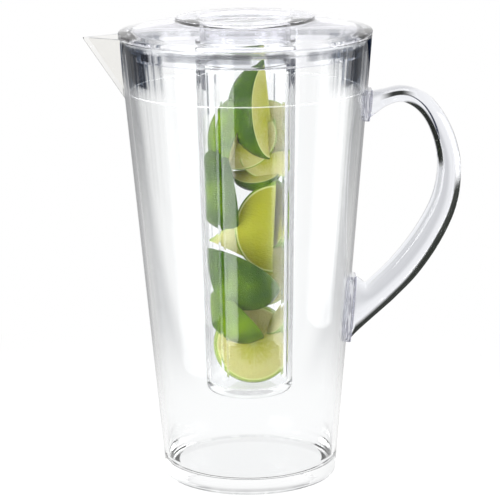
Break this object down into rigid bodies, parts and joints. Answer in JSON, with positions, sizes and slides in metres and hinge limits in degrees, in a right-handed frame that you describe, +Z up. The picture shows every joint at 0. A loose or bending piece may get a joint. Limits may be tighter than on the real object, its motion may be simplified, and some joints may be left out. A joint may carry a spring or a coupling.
{
  "type": "fruit infuser pitcher",
  "caption": "Tapered clear round pitcher with a V spout, a bonded bar handle, a lift-off domed lid and a slotted fruit tube that screws on under the lid.",
  "frame": {"origin": "centre of the flat base on the table, on the pitcher's axis", "axes": "+Z up along the axis, -X to the spout's tip, +X to the handle, so the spout, axis and handle lie in the XZ plane"},
  "size_m": [0.2119, 0.1424, 0.2646],
  "materials": {
    "clear_acrylic": "polished clear",
    "clear_silicone": "satin translucent"
  },
  "bodies": {
    "pitcher": {"pitcher_body": "clear_acrylic", "handle": "clear_acrylic"},
    "seal_ring": {"lid_seal": "clear_silicone"},
    "lid": {"lid": "clear_acrylic"},
    "gasket": {"infuser_gasket": "clear_silicone"},
    "infuser": {"infuser_tube": "clear_acrylic"}
  },
  "joints": [
    {"name": "lid_lift", "type": "slide", "parent": "pitcher", "child": "seal_ring", "axis": [0, 0, 1], "range_m": [0, 0.215]},
    {"name": "lid_turn", "type": "hinge", "parent": "seal_ring", "child": "lid", "pos_m": [0, 0, 0.254], "axis": [0, 0, 1], "continuous": true},
    {"name": "infuser_drop", "type": "slide", "parent": "lid", "child": "gasket", "axis": [0, 0, -1], "range_m": [0, 0.009]},
    {"name": "infuser_twist", "type": "hinge", "parent": "gasket", "child": "infuser", "pos_m": [0, 0, 0.247], "axis": [0, 0, -1], "range_deg": [0, 540]}
  ],
  "couplings": [
    {"joint": "infuser_drop", "follows": "infuser_twist", "m_per_rad": 0.00095493}
  ]
}
